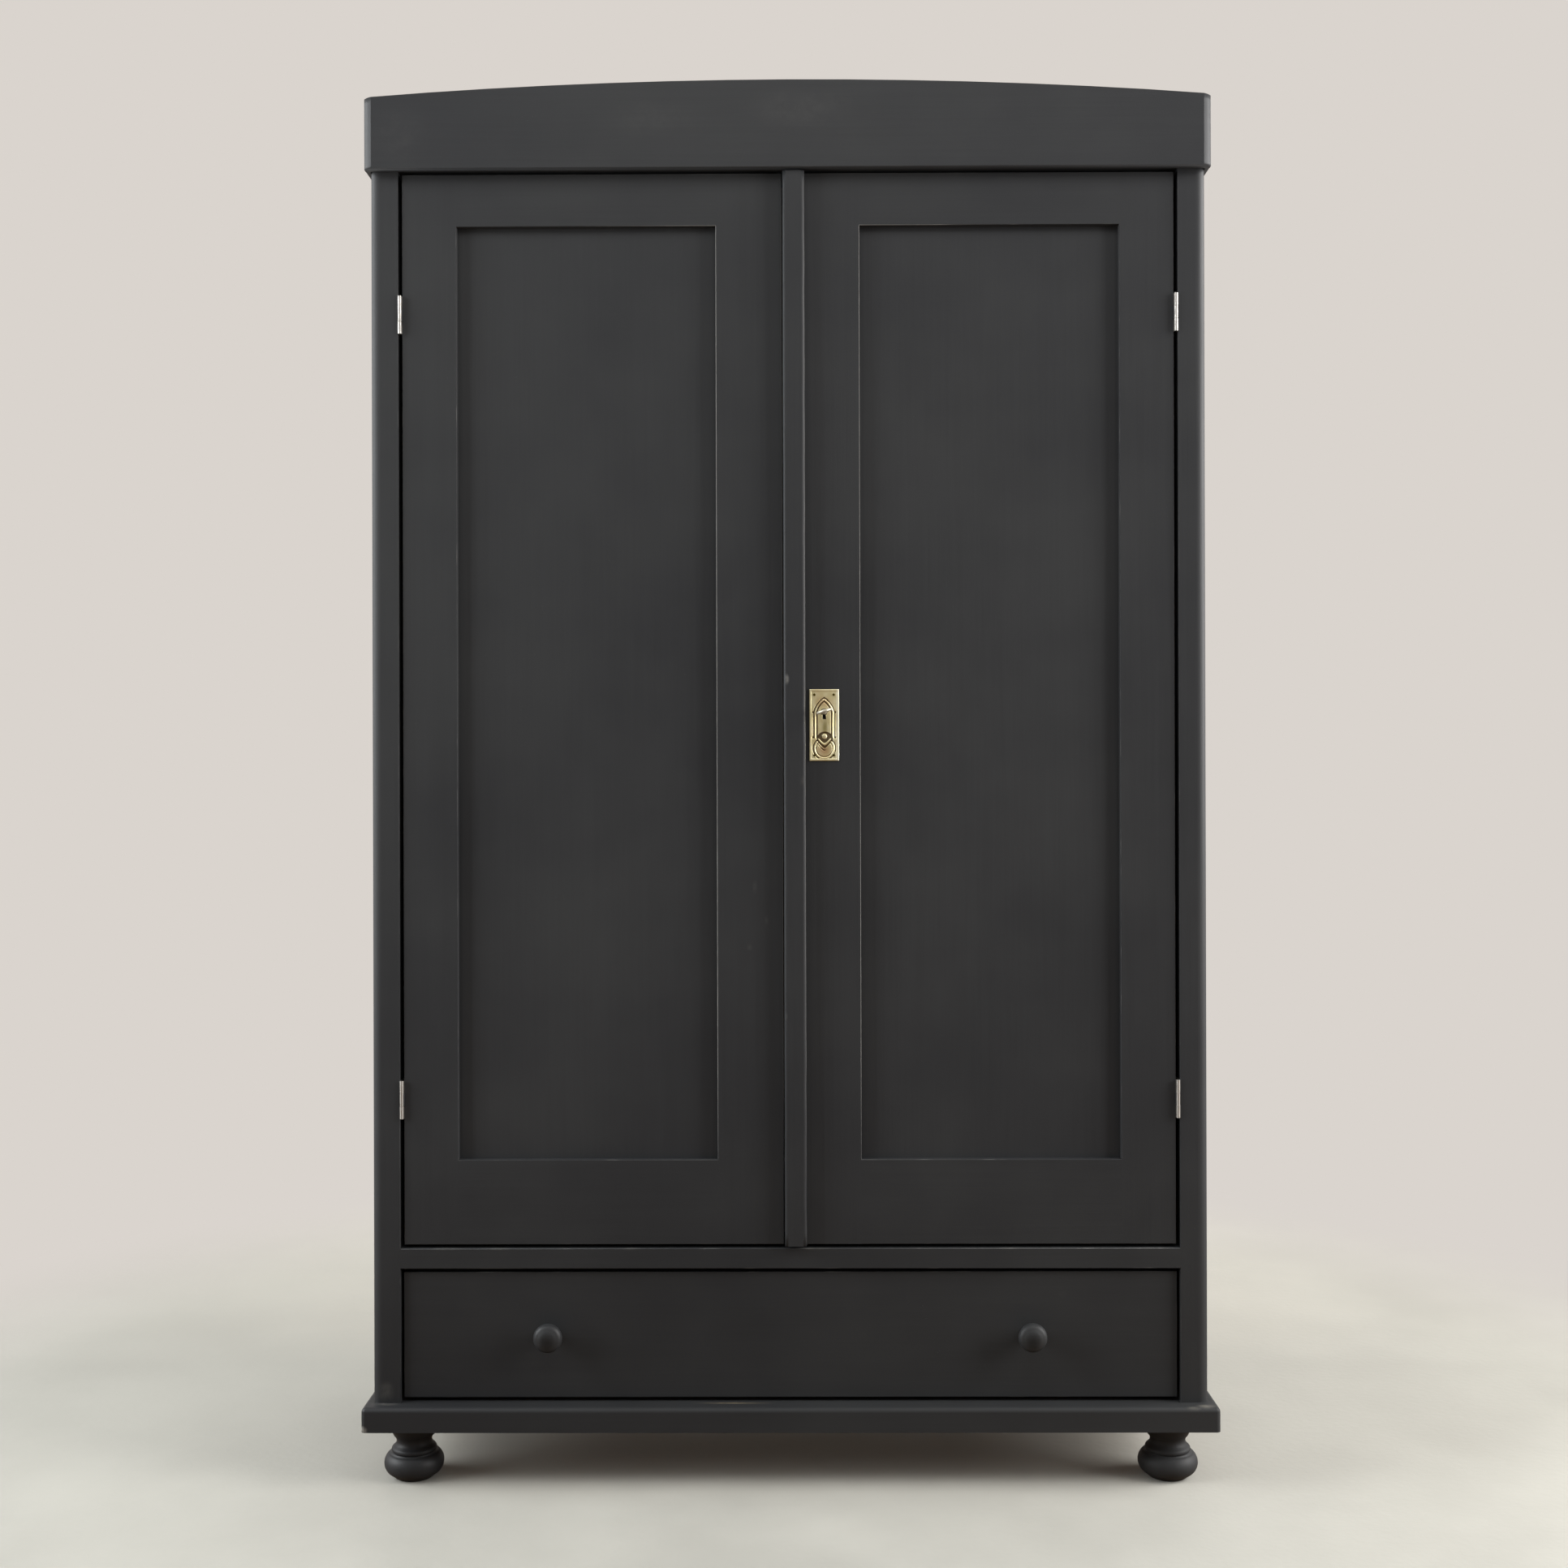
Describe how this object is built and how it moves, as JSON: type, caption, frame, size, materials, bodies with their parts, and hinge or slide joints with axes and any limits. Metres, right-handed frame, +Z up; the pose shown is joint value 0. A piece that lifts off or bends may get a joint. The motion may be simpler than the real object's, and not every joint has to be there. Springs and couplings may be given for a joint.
{
  "type": "linen cupboard",
  "caption": "Free-standing painted linen cupboard with an arched crown, framed panel doors over shelves, a deep drawer, a key lock and turned feet.",
  "frame": {"origin": "on the floor, under the middle of the cupboard's box", "axes": "+Z up, +X to the right of someone who faces the doors, +Y from the doors to the back"},
  "size_m": [1.126, 0.56, 1.85],
  "materials": {
    "painted_wood": "matt charcoal paint",
    "bare_pine": "bare aged pine",
    "bright_nickel": "satin",
    "grey_steel": "dull",
    "aged_brass": "worn satin"
  },
  "bodies": {
    "root": {"base_front_rail": "painted_wood", "base_back_rail": "painted_wood", "base_left_rail": "painted_wood", "base_right_rail": "painted_wood", "foot_front_left": "painted_wood", "foot_front_right": "painted_wood", "foot_rear_left": "painted_wood", "foot_rear_right": "painted_wood", "post_front_left": "painted_wood", "post_front_right": "painted_wood", "post_rear_left": "painted_wood", "post_rear_right": "painted_wood", "side_top_rail_left": "painted_wood", "side_top_rail_right": "painted_wood", "side_bottom_rail_left": "painted_wood", "side_bottom_rail_right": "painted_wood", "side_panel_left": "painted_wood", "side_panel_right": "painted_wood", "drawer_rail": "painted_wood", "header_rail": "painted_wood", "back_top_rail": "bare_pine", "cupboard_floor": "bare_pine", "floor_bearers": "bare_pine", "shelves": "bare_pine", "shelf_cleats": "bare_pine", "back_boards": "bare_pine", "roof_board": "bare_pine", "crown_front": "painted_wood", "crown_left": "painted_wood", "crown_right": "painted_wood", "drawer_runners": "bare_pine", "drawer_stops": "bare_pine", "frame_hinge_leaves": "bright_nickel", "hinge_pins": "bright_nickel"},
    "left_door": {"left_door_hinge_stile": "painted_wood", "left_door_meeting_stile": "painted_wood", "left_door_top_rail": "painted_wood", "left_door_bottom_rail": "painted_wood", "left_door_panel": "painted_wood", "left_door_hinge_leaves": "bright_nickel", "lock_keeper": "grey_steel", "door_bolt_plate": "grey_steel"},
    "right_door": {"right_door_hinge_stile": "painted_wood", "right_door_meeting_stile": "painted_wood", "right_door_top_rail": "painted_wood", "right_door_bottom_rail": "painted_wood", "right_door_panel": "painted_wood", "right_door_hinge_leaves": "bright_nickel", "cover_strip": "painted_wood", "lock_case": "grey_steel", "escutcheon": "aged_brass"},
    "drawer": {"drawer_front": "painted_wood", "drawer_left_side": "bare_pine", "drawer_right_side": "bare_pine", "drawer_back": "bare_pine", "drawer_bottom": "bare_pine", "drawer_knobs": "painted_wood"},
    "key": {"key": "grey_steel"},
    "lock_bolt": {"lock_bolt": "grey_steel"},
    "left_bolt": {"door_bolt_rod": "grey_steel"}
  },
  "joints": [
    {"name": "left_door_swing", "type": "hinge", "parent": "root", "child": "left_door", "pos_m": [-0.5125, -0.2485, 1.02525], "axis": [0, 0, -1], "range_deg": [0, 175]},
    {"name": "right_door_swing", "type": "hinge", "parent": "root", "child": "right_door", "pos_m": [0.5125, -0.2485, 1.02525], "axis": [0, 0, 1], "range_deg": [0, 175]},
    {"name": "drawer_slide", "type": "slide", "parent": "root", "child": "drawer", "axis": [0, -1, 0], "range_m": [0, 0.38]},
    {"name": "key_turn", "type": "hinge", "parent": "right_door", "child": "key", "pos_m": [0.047, -0.245, 1.021], "axis": [0, -1, 0], "range_deg": [0, 146]},
    {"name": "lock_bolt_slide", "type": "slide", "parent": "right_door", "child": "lock_bolt", "axis": [-1, 0, 0], "range_m": [0, 0.009]},
    {"name": "left_bolt_slide", "type": "slide", "parent": "left_door", "child": "left_bolt", "axis": [0, 0, 1], "range_m": [0, 0.014]}
  ],
  "couplings": [
    {"joint": "key_turn", "follows": "lock_bolt_slide", "rad_per_m": 283.13}
  ]
}
